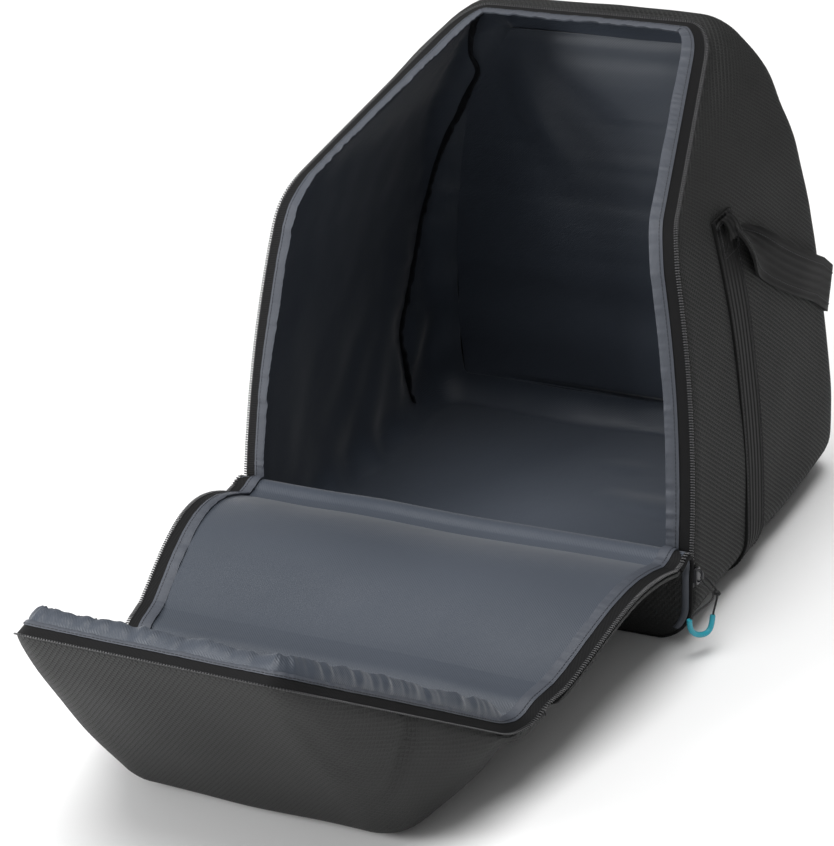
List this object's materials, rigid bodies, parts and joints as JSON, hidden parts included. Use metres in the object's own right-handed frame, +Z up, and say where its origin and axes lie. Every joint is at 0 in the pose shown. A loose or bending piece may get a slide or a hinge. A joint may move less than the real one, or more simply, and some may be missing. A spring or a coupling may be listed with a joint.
{
  "type": "ski boot bag",
  "caption": "Boxy semi-rigid ski boot bag with its zipped front flap folded open onto the floor, lined inside, with a webbing strap behind.",
  "frame": {"origin": "on the floor under the middle of the base", "axes": "+Z up, the flap opens towards -Y, +X is the side with the zip slider"},
  "size_m": [0.4199, 0.8328, 0.412],
  "materials": {
    "outer_fabric": "charcoal foam-backed polyester with a small embossed scale pattern",
    "lining_fabric": "slate blue-grey polyester twill lining",
    "binding_tape": "grey woven binding with one row of stitches",
    "zip_tape": "black woven zip tape",
    "zip_coil": "black nylon coil",
    "webbing": "black ribbed polyester webbing",
    "stiffener": "plastic board",
    "zip_metal": "gunmetal die-cast zinc",
    "pull_cord": "black braided cord",
    "pull_grip": "teal soft tube"
  },
  "bodies": {
    "body": {"base_panel": "outer_fabric", "back_panel": "outer_fabric", "top_rear_panel": "outer_fabric", "side_panel_right": "outer_fabric", "side_panel_left": "outer_fabric", "sill_panel": "outer_fabric", "sill_seam_binding": "binding_tape", "base_board": "stiffener", "lining_floor": "lining_fabric", "lining_back": "lining_fabric", "lining_top": "lining_fabric", "lining_right": "lining_fabric", "lining_left": "lining_fabric", "lining_sill": "lining_fabric", "zip_coil_body": "zip_coil", "zip_tape_body": "zip_tape", "rim_binding_body": "binding_tape", "zip_end_stops": "zip_metal", "side_webbing_right": "webbing", "side_webbing_left": "webbing"},
    "flap_panel": {"front_panel_shell": "outer_fabric", "front_panel_lining": "lining_fabric", "front_zip_coil": "zip_coil", "front_zip_tape": "zip_tape", "front_binding": "binding_tape"},
    "flap_hood": {"hood_shell": "outer_fabric", "hood_lining": "lining_fabric", "hood_zip_coil": "zip_coil", "hood_zip_tape": "zip_tape", "hood_binding": "binding_tape"},
    "carry_strap": {"carry_strap": "webbing"},
    "zip_slider": {"slider_plate": "zip_metal", "slider_arch": "zip_metal"},
    "zip_pull": {"pull_cord": "pull_cord", "pull_grip": "pull_grip", "pull_knot": "pull_cord"}
  },
  "joints": [
    {"name": "flap_fold", "type": "hinge", "parent": "body", "child": "flap_panel", "pos_m": [0, -0.1848, 0.076], "axis": [1, 0, 0], "range_deg": [-105.4, 0]},
    {"name": "hood_fold", "type": "hinge", "parent": "flap_panel", "child": "flap_hood", "pos_m": [0, -0.39951, 0.05717], "axis": [1, 0, 0], "range_deg": [-19.3, 12]},
    {"name": "strap_swing", "type": "hinge", "parent": "body", "child": "carry_strap", "pos_m": [0, -0.042, 0.296], "axis": [1, 0, 0], "range_deg": [0, 120]},
    {"name": "slider_run", "type": "slide", "parent": "body", "child": "zip_slider", "axis": [-0.0517, 0.1516, 0.9871], "range_m": [0, 0.12]},
    {"name": "pull_swing", "type": "hinge", "parent": "zip_slider", "child": "zip_pull", "pos_m": [0.205, -0.17721, 0.061], "axis": [0, -1, 0], "range_deg": [0, 110]}
  ]
}
